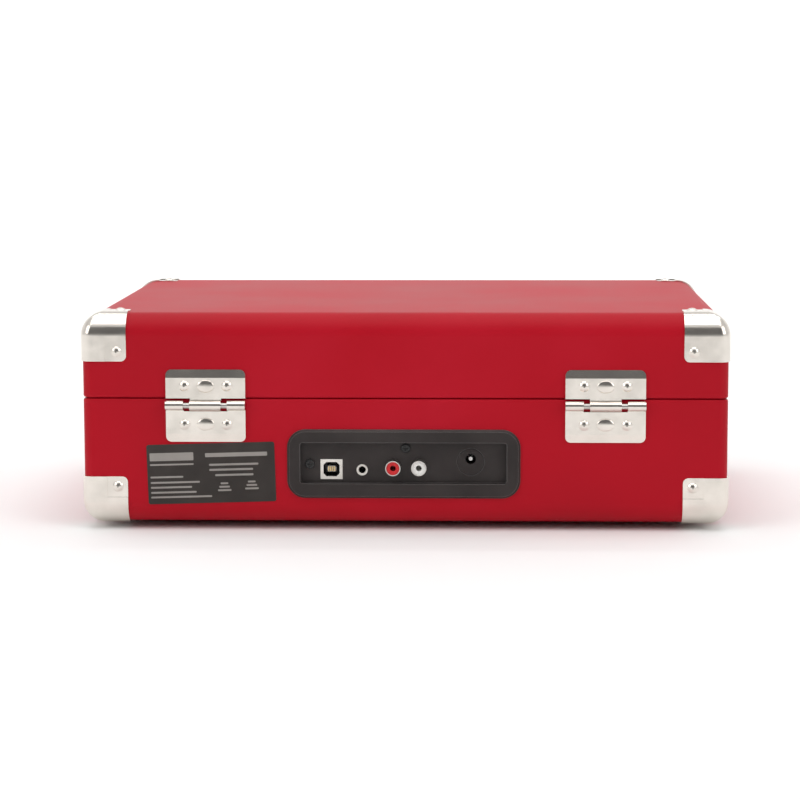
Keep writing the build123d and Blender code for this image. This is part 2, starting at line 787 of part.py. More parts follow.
def speaker_driver(x):
    """A small full-range driver behind the front board, facing forward."""
    with BuildPart() as driver:
        with BuildSketch(upright(YF + WALL, x, CASE_Z + DRIVER_UP)):
            Circle(DRIVER_R)
            Circle(DRIVER_R - 4, mode=Mode.SUBTRACT)
        extrude(amount=-2)
        with BuildSketch(upright(YF + WALL + 2, x, CASE_Z + DRIVER_UP)):
            Circle(DRIVER_R - 2)
        with BuildSketch(upright(YF + WALL + 14, x, CASE_Z + DRIVER_UP)):
            Circle(11)
        loft()
        with BuildSketch(upright(YF + WALL + 2, x, CASE_Z + DRIVER_UP)):
            Circle(DRIVER_R - 5)
        with BuildSketch(upright(YF + WALL + 11, x, CASE_Z + DRIVER_UP)):
            Circle(7)
        loft(mode=Mode.SUBTRACT)
        with BuildSketch(upright(YF + WALL + 14, x, CASE_Z + DRIVER_UP)):
            Circle(14)
        extrude(amount=-10)
    return driver.part


with BuildPart() as speaker_drivers:
    add(speaker_driver(-GRILLE_AT[0]))
    add(speaker_driver(GRILLE_AT[0]))
finish_part(speaker_drivers.part, "speaker_drivers")

# ---------------------------------------------------------------- handle and latches

GRIP = (15.0, 11.0)

with BuildPart() as handle_grip:
    with BuildLine() as grip_path:
        FilletPolyline(
            (-HANDLE_HALF, HANDLE_Y, HANDLE_Z),
            (-HANDLE_HALF, HANDLE_Y, HANDLE_Z - HANDLE_DROP),
            (HANDLE_HALF, HANDLE_Y, HANDLE_Z - HANDLE_DROP),
            (HANDLE_HALF, HANDLE_Y, HANDLE_Z),
            radius=15,
        )
    with BuildSketch(Plane((-HANDLE_HALF, HANDLE_Y, HANDLE_Z), x_dir=(1, 0, 0), z_dir=(0, 0, -1))):
        RectangleRounded(EYE_L, GRIP[1], 4.9)
    sweep(path=grip_path.line)
    for sx in (-1, 1):
        with BuildSketch(sideways(sx * HANDLE_HALF - EYE_L / 2, HANDLE_Y, HANDLE_Z)):
            Circle(EYE_R)
        extrude(amount=EYE_L)
    with BuildSketch(sideways(-HANDLE_HALF - EYE_L, HANDLE_Y, HANDLE_Z)):
        Circle(HANDLE_PIN_R + RUN)
    extrude(amount=2 * (HANDLE_HALF + EYE_L), mode=Mode.SUBTRACT)
finish_part(handle_grip.part, "handle_grip")


def handle_bracket(sx):
    """A plate on the front with one ear and the pin that the handle's eye turns on."""
    ear = sx * (HANDLE_HALF + EYE_L / 2 + 0.4)
    with BuildPart() as bracket:
        with BuildSketch(upright(YF, sx * (HANDLE_HALF + 0.5), HANDLE_Z)):
            RectangleRounded(16, 26, 3)
        extrude(amount=1.5)
        with BuildSketch(sideways(ear, YF - HANDLE_OUT / 2, HANDLE_Z)):
            Rectangle(HANDLE_OUT, 2 * EYE_R - 3)
        with BuildSketch(sideways(ear, HANDLE_Y, HANDLE_Z)):
            Circle(EYE_R - 1.5)
        extrude(amount=EAR_T, dir=(sx, 0, 0))
        with BuildSketch(sideways(ear, HANDLE_Y, HANDLE_Z)):
            Circle(HANDLE_PIN_R)
        extrude(amount=EYE_L + 1.6, dir=(-sx, 0, 0))
    return bracket.part


with BuildPart() as handle_brackets:
    add(handle_bracket(-1))
    add(handle_bracket(1))
finish_part(handle_brackets.part, "handle_brackets")

LATCH_EAR = 1.5


def latch_plate(x):
    """The plate on the base with two ears that carry the lever's pin."""
    with BuildPart() as plate:
        with BuildSketch(upright(YF, x, LATCH_Z + 7)):
            RectangleRounded(LATCH_W + 4, 22, 2.5)
        extrude(amount=1.2)
        for side in (-1, 1):
            inner = x + side * (LATCH_W / 2 + 0.3)
            with BuildSketch(sideways(inner, YF - LATCH_OUT / 2, LATCH_Z)):
                Rectangle(LATCH_OUT, 5)
            with BuildSketch(sideways(inner, LATCH_Y, LATCH_Z)):
                Circle(2.5)
            extrude(amount=LATCH_EAR, dir=(side, 0, 0))
        with BuildSketch(sideways(x - LATCH_W / 2 - 1, LATCH_Y, LATCH_Z)):
            Circle(LATCH_PIN_R)
        extrude(amount=LATCH_W + 2)
    return plate.part


def latch_lever(x):
    """A pressed lever that turns on the pin and lies over the keeper, its top edge flared for a finger."""
    top = CASE_Z + LATCH_TOP
    with BuildPart() as lever:
        with BuildSketch(sideways(x - LATCH_W / 2, 0, 0)):
            with BuildLine():
                Polyline(
                    (LATCH_Y - 1.0, LATCH_Z),
                    (LATCH_Y - 1.0, top - 5),
                    (LATCH_Y - 3.2, top),
                    (LATCH_Y - 1.8, top + 0.6),
                    (LATCH_Y + 0.6, top - 4.6),
                    (LATCH_Y + 0.6, LATCH_Z),
                    close=True,
                )
            make_face()
        with BuildSketch(sideways(x - LATCH_W / 2, LATCH_Y, LATCH_Z)):
            Circle(2.5)
        extrude(amount=LATCH_W)
        with BuildSketch(sideways(x - LATCH_W, LATCH_Y, LATCH_Z)):
            Circle(LATCH_PIN_R + RUN)
        extrude(amount=2 * LATCH_W, mode=Mode.SUBTRACT)
    return lever.part


with BuildPart() as latch_plates:
    add(latch_plate(-LATCH_X))
    add(latch_plate(LATCH_X))
finish_part(latch_plates.part, "latch_plates")

finish_part(latch_lever(-LATCH_X), "latch_lever_left")
finish_part(latch_lever(LATCH_X), "latch_lever_right")

with BuildPart() as latch_keepers:
    with BuildSketch(upright(YF, z=LID_Z + 9)):
        with Locations((-LATCH_X, 0), (LATCH_X, 0)):
            RectangleRounded(LATCH_W + 4, 14, 2.5)
    extrude(amount=1.2)
    with BuildSketch(upright(YF - 1.2, z=LID_Z + 5)):
        with Locations((-LATCH_X, 0), (LATCH_X, 0)):
            RectangleRounded(10, 3, 1.4)
    extrude(amount=1.6)
finish_part(latch_keepers.part, "latch_keepers")

# ---------------------------------------------------------------- deck

BORE_R = 4.0
KNOB_SHAFT_R = 3.0
STEM = (2.4, 5.0)
ADAPTER_R = 19.1
ADAPTER_AT = (-146.0, CASE_YC + 94.0)
KNOB_AT = (CONTROL_X, CASE_YC + KNOB_IN)
SPEED_AT = (CONTROL_X, CASE_YC + SPEED_IN)
STOP_AT = (CONTROL_X, CASE_YC + STOP_IN)


def slider_slot(place, travel):
    """A slot's centre and size on the deck, for a slider at the near end of its travel."""
    return (place[0], place[1] + travel / 2), (STEM[0] + 0.6, STEM[1] + travel + 0.6)


with BuildPart() as deck_plate:
    with BuildSketch(level(DECK_Z - DECK_T, y=CASE_YC)):
        RectangleRounded(INNER_W - 2 * DECK_GAP, INNER_D - 2 * DECK_GAP, 3.7)
    extrude(amount=DECK_T)
    fillet(deck_plate.edges().group_by(Axis.Z)[-1], 0.8)
    with BuildSketch(level(DECK_Z - WELL_DEEP, SPINDLE_X, SPINDLE_Y)):
        Circle(WELL_R)
    extrude(amount=WELL_DEEP + 1, mode=Mode.SUBTRACT)
    with BuildSketch(level(DECK_Z - DECK_T - 1)):
        with Locations((SPINDLE_X, SPINDLE_Y)):
            Circle(SHAFT_R + 0.1)
        with Locations((PULLEY_X, PULLEY_Y)):
            Circle(PULLEY_R + 3)
        with Locations((ARM_X, ARM_Y)):
            Circle(BORE_R + 0.6)
        with Locations(KNOB_AT):
            Circle(KNOB_SHAFT_R + 0.4)
        for place, travel in ((SPEED_AT, SPEED_TRAVEL), (STOP_AT, STOP_TRAVEL)):
            centre, size = slider_slot(place, travel)
            with Locations(centre):
                Rectangle(*size)
        with Locations(*DECK_SCREWS_AT):
            Circle(SCREW_R + 0.2)
    extrude(amount=DECK_T + 2, mode=Mode.SUBTRACT)
    with BuildSketch(level(DECK_Z, *ADAPTER_AT)):
        Circle(3.4)
    extrude(amount=5)
finish_part(deck_plate.part, "deck_plate")

with BuildPart() as adapter_45:
    with BuildSketch(level(DECK_Z, *ADAPTER_AT)):
        Circle(ADAPTER_R)
        Circle(SPINDLE_R + 0.1, mode=Mode.SUBTRACT)
        with PolarLocations(11.5, 6):
            Circle(3.2, mode=Mode.SUBTRACT)
    extrude(amount=4)
    fillet(adapter_45.edges().group_by(Axis.Z)[-1].sort_by(SortBy.LENGTH)[-1], 1.0)
finish_part(adapter_45.part, "adapter_45")

with BuildPart() as volume_knob:
    with BuildSketch(level(DECK_Z + 1.2, *KNOB_AT)):
        Circle(10)
        with PolarLocations(10.4, 24):
            Circle(0.8, mode=Mode.SUBTRACT)
    extrude(amount=10.8)
    with BuildSketch(level(DECK_Z + 12, *KNOB_AT)):
        Circle(8.6)
    extrude(amount=1.6, taper=20)
    with BuildSketch(level(DECK_Z + 12.8, *KNOB_AT)):
        with Locations((0, 5.4)):
            SlotOverall(5, 1.2, rotation=90)
    extrude(amount=2, mode=Mode.SUBTRACT)
    with BuildSketch(level(DECK_Z - 8, *KNOB_AT)):
        Circle(KNOB_SHAFT_R)
    extrude(amount=9.4)
finish_part(volume_knob.part, "volume_knob")


def slider(place):
    """A ribbed slide knob with the stem that goes down through its slot."""
    with BuildPart() as knob:
        with BuildSketch(level(DECK_Z + 0.4, *place)):
            RectangleRounded(8, 7, 1.2)
        extrude(amount=3.4)
        with BuildSketch(level(DECK_Z + 3.0, *place)):
            with GridLocations(1, 1.7, 1, 3):
                Rectangle(9, 0.7)
        extrude(amount=1, mode=Mode.SUBTRACT)
        with BuildSketch(level(DECK_Z - 4.6, *place)):
            Rectangle(*STEM)
        extrude(amount=5.2)
    return knob.part


finish_part(slider(SPEED_AT), "speed_slider")
finish_part(slider(STOP_AT), "auto_stop_slider")

with BuildPart() as control_bodies:
    with BuildSketch(level(DECK_Z - DECK_T, *KNOB_AT)):
        Circle(8.5)
        Circle(KNOB_SHAFT_R + RUN, mode=Mode.SUBTRACT)
    extrude(amount=-8)
    for place, travel in ((SPEED_AT, SPEED_TRAVEL), (STOP_AT, STOP_TRAVEL)):
        centre, size = slider_slot(place, travel)
        with BuildSketch(level(DECK_Z - DECK_T, *centre)):
            Rectangle(size[0] + 6, size[1] + 6)
        extrude(amount=-7)
        with BuildSketch(level(DECK_Z - DECK_T, *centre)):
            Rectangle(*size)
        extrude(amount=-3, mode=Mode.SUBTRACT)
finish_part(control_bodies.part, "control_bodies")

# ---------------------------------------------------------------- platter and drive

WELL_Z = DECK_Z - WELL_DEEP
PLATTER_Z = DECK_Z + PLATTER_TOP
MAT_Z = PLATTER_Z + MAT_T

with BuildPart() as spindle:
    with BuildSketch(level(MAT_Z, SPINDLE_X, SPINDLE_Y)):
        Circle(SPINDLE_R)
    extrude(amount=DECK_Z + SPINDLE_TOP - MAT_Z)
    fillet(spindle.edges().group_by(Axis.Z)[-1], SPINDLE_TIP)
    with BuildSketch(level(MAT_Z, SPINDLE_X, SPINDLE_Y)):
        Circle(SHAFT_R)
    extrude(amount=DECK_Z - 10 - MAT_Z)
    with BuildSketch(level(WELL_Z, SPINDLE_X, SPINDLE_Y)):
        Circle(12)
    extrude(amount=2.2)
finish_part(spindle.part, "spindle")

with BuildPart() as platter:
    with BuildSketch(level(DECK_Z + 2, SPINDLE_X, SPINDLE_Y)):
        Circle(PLATTER_R)
    extrude(amount=PLATTER_TOP - 2)
    fillet(platter.edges().group_by(Axis.Z)[-1], 1.6)
    with BuildSketch(level(DECK_Z + 1, SPINDLE_X, SPINDLE_Y)):
        Circle(PLATTER_R - 2.5)
        Circle(DRIVE_R, mode=Mode.SUBTRACT)
        Circle(DRIVE_R - 2.5)
        Circle(13, mode=Mode.SUBTRACT)
    extrude(amount=PLATTER_TOP - PLATTER_WEB - 1, mode=Mode.SUBTRACT)
    with BuildSketch(level(DECK_Z, SPINDLE_X, SPINDLE_Y)):
        Circle(SHAFT_R + RUN)
    extrude(amount=PLATTER_TOP + 1, mode=Mode.SUBTRACT)
finish_part(platter.part, "platter")

with BuildPart() as platter_mat:
    with BuildSketch(level(PLATTER_Z, SPINDLE_X, SPINDLE_Y)):
        Circle(PLATTER_R - 2)
        Circle(SHAFT_R + 0.6, mode=Mode.SUBTRACT)
    extrude(amount=MAT_T)
    with BuildSketch(level(MAT_Z - 0.6, SPINDLE_X, SPINDLE_Y)):
        for radius in (50, 87.5):
            Circle(radius + 1)
            Circle(radius - 1, mode=Mode.SUBTRACT)
    extrude(amount=1, mode=Mode.SUBTRACT)
finish_part(platter_mat.part, "platter_mat")

MOTOR_Z = DECK_Z - DECK_T - MOTOR_H
MOTOR_SHAFT_R = 1.0
ROTOR_Z = MOTOR_Z + 5

with BuildPart() as motor_pulley:
    with BuildSketch(level(BELT_Z - 0.4, PULLEY_X, PULLEY_Y)):
        Circle(PULLEY_R)
    extrude(amount=BELT_H + 0.8)
    with BuildSketch(level(BELT_Z - 1.0, PULLEY_X, PULLEY_Y)):
        Circle(PULLEY_R + 1.2)
    extrude(amount=0.6)
    with BuildSketch(level(BELT_Z + BELT_H + 0.4, PULLEY_X, PULLEY_Y)):
        Circle(PULLEY_R + 1.2)
    extrude(amount=0.6)
    with BuildSketch(level(ROTOR_Z - 1, PULLEY_X, PULLEY_Y)):
        Circle(MOTOR_SHAFT_R)
    extrude(amount=BELT_Z + BELT_H - ROTOR_Z)
    with BuildSketch(level(ROTOR_Z, PULLEY_X, PULLEY_Y)):
        Circle(ROTOR_R)
    extrude(amount=ROTOR_H)
finish_part(motor_pulley.part, "motor_pulley")

with BuildPart() as motor:
    with BuildSketch(level(MOTOR_Z, PULLEY_X, PULLEY_Y)):
        Circle(MOTOR_R)
    extrude(amount=MOTOR_H)
    fillet(motor.edges().group_by(Axis.Z)[0], MOTOR_SHELL)
    with BuildSketch(level(ROTOR_Z - ROTOR_AIR - 1, PULLEY_X, PULLEY_Y)):
        Circle(ROTOR_R + ROTOR_AIR)
    extrude(amount=ROTOR_H + 2 * ROTOR_AIR + 1, mode=Mode.SUBTRACT)
    with BuildSketch(level(ROTOR_Z, PULLEY_X, PULLEY_Y)):
        Circle(MOTOR_SHAFT_R + RUN)
    extrude(amount=MOTOR_H, mode=Mode.SUBTRACT)
finish_part(motor.part, "motor")


def belt_outline(extra):
    """The loop round the platter's drive ring and the pulley, moved out by an amount."""
    with BuildSketch() as outline:
        with Locations((SPINDLE_X, SPINDLE_Y)):
            Circle(DRIVE_R + BELT_CLEAR + extra)
        with Locations((PULLEY_X, PULLEY_Y)):
            Circle(PULLEY_R + BELT_CLEAR + extra)
        make_hull()
    return outline.sketch


with BuildPart() as drive_belt:
    with BuildSketch(level(BELT_Z)):
        add(belt_outline(BELT_T))
        add(belt_outline(0), mode=Mode.SUBTRACT)
    extrude(amount=BELT_H)
finish_part(drive_belt.part, "drive_belt")

# ---------------------------------------------------------------- tonearm

BASE_DISC_R = 17.0
BASE_DISC_H = 10.0
YOKE_R = 13.0
EAR = 3.0
CUE_SIDE = 17.5
CUE_UP = 6.0
CUE_PIN_R = 1.2
CUE_POST = Plane(
    TURNTABLE.from_local_coords(
        (
            CUE_BAR_AT * cos(radians(SWIVEL_RANGE / 2)),
            -CUE_BAR_AT * sin(radians(SWIVEL_RANGE / 2)),
            0,
        )
    ),
    x_dir=(1, 0, 0),
    z_dir=(0, 0, 1),
)

with BuildPart() as tonearm_base:
    with BuildSketch(TURNTABLE):
        Circle(BASE_DISC_R)
    extrude(amount=BASE_DISC_H)
    fillet(tonearm_base.edges().group_by(Axis.Z)[-1], 1.5)
    with BuildSketch(CUE_POST):
        Circle(4.5)
    extrude(amount=BASE_DISC_H + 1.5)
    with BuildSketch(TURNTABLE):
        with Locations((4, CUE_SIDE - 3)):
            Rectangle(9, 6)
    extrude(amount=BASE_DISC_H)
    with BuildSketch(TURNTABLE.offset(-1)):
        Circle(BORE_R)
    extrude(amount=BASE_DISC_H + 3, mode=Mode.SUBTRACT)
    with BuildSketch(CUE_POST.offset(3)):
        Circle(2.0 + RUN)
    extrude(amount=BASE_DISC_H, mode=Mode.SUBTRACT)
    with BuildSketch(Plane(TURNTABLE.from_local_coords((4, CUE_SIDE - 1, CUE_UP)), z_dir=ARM.y_dir)):
        Circle(CUE_PIN_R)
    extrude(amount=6.4)
finish_part(tonearm_base.part, "tonearm_base")

with BuildPart() as tonearm_yoke:
    with BuildSketch(TURNTABLE.offset(BASE_DISC_H + 0.3)):
        Circle(YOKE_R)
    extrude(amount=5)
    with BuildSketch(TURNTABLE.offset(-6)):
        Circle(BORE_R - RUN)
    extrude(amount=BASE_DISC_H + 7)
    for side in (-1, 1):
        with BuildSketch(beside_arm(side * (YOKE_GAP / 2 + EAR / 2))):
            Circle(5.5)
            with Locations((0, -5)):
                Rectangle(11, 10)
        extrude(amount=EAR / 2, both=True)
    with BuildSketch(beside_arm(0)):
        Circle(1.52)
    extrude(amount=YOKE_GAP, both=True, mode=Mode.SUBTRACT)
finish_part(tonearm_yoke.part, "tonearm_yoke")

with BuildPart() as tonearm_pin:
    with BuildSketch(beside_arm(0)):
        Circle(1.5)
    extrude(amount=YOKE_GAP / 2 + EAR + 0.4, both=True)
finish_part(tonearm_pin.part, "tonearm_pin")

TUBE_END = 162.0

with BuildPart() as tonearm_tube:
    with BuildSketch(across_arm(-17)):
        RectangleRounded(10, 10, 3)
    extrude(amount=29)
    chamfer(tonearm_tube.faces().filter_by(GeomType.PLANE).sort_by_distance(across_arm(-17).origin)[0].edges(), 1)
    with BuildSketch(across_arm(11)):
        Circle(TUBE_R)
    extrude(amount=TUBE_END - 11)
    with BuildSketch(beside_arm(0)):
        Circle(1.5 + RUN)
    extrude(amount=YOKE_GAP, both=True, mode=Mode.SUBTRACT)
finish_part(tonearm_tube.part, "tonearm_tube")

SHELL_END = 200.0

with BuildPart() as headshell:
    with BuildSketch(across_arm(TUBE_END)):
        Circle(TUBE_R + 0.8)
    extrude(amount=8)
    with BuildSketch(ARM.offset(-3.4)):
        with BuildLine():
            Polyline(
                (TUBE_END + 2, -4),
                (TUBE_END + 14, -9.5),
                (SHELL_END, -9.5),
                (SHELL_END, 9.5),
                (TUBE_END + 14, 9.5),
                (TUBE_END + 2, 4),
                close=True,
            )
        make_face()
    extrude(amount=5)
    with BuildSketch(ARM.offset(-4)):
        with Locations(((TUBE_END + 15 + SHELL_END - 1.4) / 2, 0)):
            Rectangle(SHELL_END - 1.4 - TUBE_END - 15, 16.2)
    extrude(amount=3.2, mode=Mode.SUBTRACT)
    with BuildSketch(ARM.offset(-0.4)):
        with Locations((SHELL_END - 8, 13)):
            SlotOverall(12, 5, rotation=90)
    extrude(amount=1.2)
finish_part(headshell.part, "headshell")

with BuildPart() as cartridge:
    with BuildSketch(ARM.offset(-6.4)):
        with Locations((ARM_LENGTH + 1, 0)):
            RectangleRounded(20, 15, 1.5)
    extrude(amount=5.6)
    with BuildSketch(ARM.offset(-8.4)):
        with Locations((ARM_LENGTH, 0)):
            Circle(0.35)
    with BuildSketch(ARM.offset(-6.4)):
        with Locations((ARM_LENGTH, 0)):
            Circle(1.6)
    loft()
finish_part(cartridge.part, "cartridge")

with BuildPart() as arm_rest:
    with BuildSketch(ARM.offset(-ARM_UP)):
        with Locations((ARM_REST_AT, 1)):
            Circle(6)
    extrude(amount=2)
    with BuildSketch(ARM.offset(-ARM_UP)):
        with Locations((ARM_REST_AT, 1)):
            Circle(2.6)
    extrude(amount=ARM_UP - 5)
    with BuildSketch(ARM.offset(-6)):
        with Locations((ARM_REST_AT, 1)):
            Rectangle(7, 10)
    extrude(amount=2.1)
    with BuildSketch(ARM.offset(-6)):
        with Locations((ARM_REST_AT, 4.9)):
            Rectangle(7, 2.2)
    extrude(amount=8)
finish_part(arm_rest.part, "arm_rest")

CUE_HUB = Plane(TURNTABLE.from_local_coords((4, CUE_SIDE + 0.3, CUE_UP)), x_dir=ARM.x_dir, z_dir=ARM.y_dir)

with BuildPart() as cue_lever:
    with BuildSketch(CUE_HUB):
        Circle(3.4)
        with Locations((12, 0)):
            SlotOverall(28, 3.2)
        Circle(CUE_PIN_R + RUN, mode=Mode.SUBTRACT)
    extrude(amount=4)
finish_part(cue_lever.part, "cue_lever")

with BuildPart() as cue_bar:
    with BuildSketch(ARM.offset(-TUBE_R - 2.1)):
        Circle(CUE_BAR_AT + 1.8)
        Circle(CUE_BAR_AT - 1.8, mode=Mode.SUBTRACT)
        with BuildLine():
            Polyline(
                (0, 0),
                (40 * cos(radians(6)), 40 * sin(radians(6))),
                (40, -20),
                (40 * cos(radians(SWIVEL_RANGE + 6)), -40 * sin(radians(SWIVEL_RANGE + 6))),
                close=True,
            )
        make_face(mode=Mode.INTERSECT)
    extrude(amount=1.6)
    with BuildSketch(CUE_POST.offset(5)):
        Circle(2.0)
    extrude(amount=ARM_UP - TUBE_R - 2.1 - 5)
finish_part(cue_bar.part, "cue_bar")
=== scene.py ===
import json
from math import cos, pi, radians, sin

import bmesh
import bpy
from mathutils import Matrix, Vector


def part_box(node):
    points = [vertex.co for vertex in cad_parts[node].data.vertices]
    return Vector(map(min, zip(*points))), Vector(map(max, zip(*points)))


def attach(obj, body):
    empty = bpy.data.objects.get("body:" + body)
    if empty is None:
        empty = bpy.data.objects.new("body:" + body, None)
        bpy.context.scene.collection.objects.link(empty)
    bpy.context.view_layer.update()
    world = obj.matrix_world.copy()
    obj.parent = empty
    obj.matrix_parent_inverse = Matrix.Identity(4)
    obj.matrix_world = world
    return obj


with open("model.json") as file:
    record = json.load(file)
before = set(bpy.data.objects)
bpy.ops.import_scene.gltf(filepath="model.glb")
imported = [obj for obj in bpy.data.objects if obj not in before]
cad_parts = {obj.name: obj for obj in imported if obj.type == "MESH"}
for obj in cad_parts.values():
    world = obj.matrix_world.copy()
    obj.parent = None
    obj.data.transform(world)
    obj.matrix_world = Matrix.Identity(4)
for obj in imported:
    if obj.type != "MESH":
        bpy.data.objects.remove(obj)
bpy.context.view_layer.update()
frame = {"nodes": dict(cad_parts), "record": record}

MM = 0.001
NODES = frame["nodes"]
SLOT_OF = {s["node"]: s["material_slot"] for s in frame["record"]["subparts"]}


# ------------------------------------------------------------ material helpers

# The Mix node repeats its sockets' names for each data type, so its colour ones go by number.
MIX_INPUTS, MIX_RESULT = (0, 6, 7), 2
SOFT_CUT = 0.2 * MM  # half the blend where a colour changes across a plane


class Recipe:
    """A material's node tree, with short calls for its usual nodes."""

    def __init__(self, name):
        self.material = bpy.data.materials.new(name)
        self.material.use_nodes = True
        self.tree = self.material.node_tree
        self.tree.nodes.clear()
        out = self.node("ShaderNodeOutputMaterial")
        self.skin = self.node("ShaderNodeBsdfPrincipled")
        self.link(self.skin.outputs["BSDF"], out.inputs["Surface"])
        self.place = self.node("ShaderNodeTexCoord").outputs["Object"]
        self.last_normal = None

    def node(self, kind, **values):
        n = self.tree.nodes.new(kind)
        for key, value in values.items():
            setattr(n, key, value)
        return n

    def link(self, a, b):
        self.tree.links.new(a, b)

    def feed(self, socket, value):
        """Links another node's socket to this one, or sets a number or a colour on it."""
        if isinstance(value, bpy.types.NodeSocket):
            self.link(value, socket)
        else:
            socket.default_value = (*value, 1) if isinstance(value, tuple) else value

    def set(self, **values):
        """Feeds the shader's sockets, named with _ for each space."""
        for key, value in values.items():
            self.feed(self.skin.inputs[key.replace("_", " ")], value)

    def noise(self, size, detail=3.0, rough=0.55, stretch=(1, 1, 1), distortion=0.0):
        """Noise whose features are about size metres across."""
        scale = self.node("ShaderNodeMapping")
        scale.inputs["Scale"].default_value = stretch
        self.link(self.place, scale.inputs["Vector"])
        n = self.node("ShaderNodeTexNoise")
        n.inputs["Scale"].default_value = 1 / size
        n.inputs["Detail"].default_value = detail
        n.inputs["Roughness"].default_value = rough
        n.inputs["Distortion"].default_value = distortion
        self.link(scale.outputs["Vector"], n.inputs["Vector"])
        return n.outputs["Fac"]

    def cells(self, size, feature, smooth=None):
        """Cells about size metres across."""
        n = self.node("ShaderNodeTexVoronoi", feature=feature)
        n.inputs["Scale"].default_value = 1 / size
        if smooth is not None:
            n.inputs["Smoothness"].default_value = smooth
        self.link(self.place, n.inputs["Vector"])
        return n.outputs["Distance"]

    def ramp(self, value, stops):
        """A colour for each value, from stops of a position and a colour."""
        n = self.node("ShaderNodeValToRGB")
        elements = n.color_ramp.elements
        while len(elements) < len(stops):
            elements.new(0.5)
        for element, (at, colour) in zip(elements, stops):
            element.position = at
            element.color = (*colour, 1)
        self.link(value, n.inputs["Fac"])
        return n.outputs["Color"]

    def span(self, value, low, high, start=0.3, end=0.7):
        """Goes from low to high as the value goes from start to end, where most noise lies."""
        n = self.node("ShaderNodeMapRange")
        n.inputs["From Min"].default_value = start
        n.inputs["From Max"].default_value = end
        n.inputs["To Min"].default_value = low
        n.inputs["To Max"].default_value = high
        self.link(value, n.inputs["Value"])
        return n.outputs["Result"]

    def mix(self, share, a, b):
        """The colour a where share is 0, and b where it is 1."""
        n = self.node("ShaderNodeMix", data_type="RGBA")
        for i, value in zip(MIX_INPUTS, (share, a, b)):
            self.feed(n.inputs[i], value)
        return n.outputs[MIX_RESULT]

    def worn_and_lit_edges(self, radius, most, low, high):
        """Up to most where the surface bends within radius, and 0 on the flat; it marks edges painted
        lighter, both as wear and as painted highlight.

        low and high bound the cosine between the true and the rounded normal."""
        bevel = self.node("ShaderNodeBevel", samples=6)
        bevel.inputs["Radius"].default_value = radius
        geometry = self.node("ShaderNodeNewGeometry")
        dot = self.node("ShaderNodeVectorMath", operation="DOT_PRODUCT")
        self.link(bevel.outputs["Normal"], dot.inputs[0])
        self.link(geometry.outputs["Normal"], dot.inputs[1])
        return self.span(dot.outputs["Value"], most, 0.0, low, high)

    def deeper_than(self, y):
        """0 in front of the plane at y and 1 behind it, for the shade painted inside a socket."""
        split = self.node("ShaderNodeSeparateXYZ")
        self.link(self.place, split.inputs["Vector"])
        return self.span(split.outputs["Y"], 1.0, 0.0, y - SOFT_CUT, y + SOFT_CUT)

    def round_spot(self, x, z, inner, outer):
        """1 within inner of an axis along Y and 0 beyond outer, or the reverse if inner is larger."""
        flat = self.node("ShaderNodeVectorMath", operation="MULTIPLY")
        flat.inputs[1].default_value = (1, 0, 1)
        self.link(self.place, flat.inputs[0])
        far = self.node("ShaderNodeVectorMath", operation="DISTANCE")
        far.inputs[1].default_value = (x, 0, z)
        self.link(flat.outputs["Vector"], far.inputs[0])
        return self.span(far.outputs["Value"], 1.0, 0.0, inner, outer)

    def bump(self, height, distance, strength):
        """Adds relief on top of any that is there already."""
        n = self.node("ShaderNodeBump")
        n.inputs["Strength"].default_value = strength
        n.inputs["Distance"].default_value = distance
        self.link(height, n.inputs["Height"])
        if self.last_normal is not None:
            self.link(self.last_normal, n.inputs["Normal"])
        self.last_normal = n.outputs["Normal"]
        self.link(self.last_normal, self.skin.inputs["Normal"])


def shade(colour, by, plus=0.0):
    """The colour made lighter or darker, with no channel past 1."""
    return tuple(min(1.0, c * by + plus) for c in colour)


# ------------------------------------------------------------ materials

# The first colour is painted shade for the insides of sockets.
SOCKET_SHADE = (0.012, 0.011, 0.010)
TONGUE_GREY = (0.50, 0.49, 0.46)
PIN_BRIGHT = (0.75, 0.74, 0.72)
RIM_DARK = (0.003, 0.003, 0.003)


def leatherette(name, deep, mid, light, grain=0.45 * MM):
    """Satin coated paper with a fine embossed grain."""
    m = Recipe(name)
    broad = m.noise(90 * MM, 2.0)
    fine = m.noise(1.1 * MM, 2.0)
    colour = m.ramp(broad, [(0.3, deep), (0.52, mid), (0.75, light)])
    # Edges painted lighter, partly as wear and partly as painted highlight on the rounded edges.
    edge_wear_and_highlight = m.worn_and_lit_edges(1.2 * MM, 0.18, 0.9, 0.995)
    colour = m.mix(m.span(fine, 0.0, 0.12), colour, deep)
    colour = m.mix(edge_wear_and_highlight, colour, light)
    m.set(Base_Color=colour, Roughness=m.span(broad, 0.46, 0.52), Specular_IOR_Level=0.17)
    m.bump(m.cells(grain, "SMOOTH_F1", 0.6), 0.03 * MM, 0.22)
    m.bump(m.noise(35 * MM, 2.0), 0.6 * MM, 0.06)
    return m.material


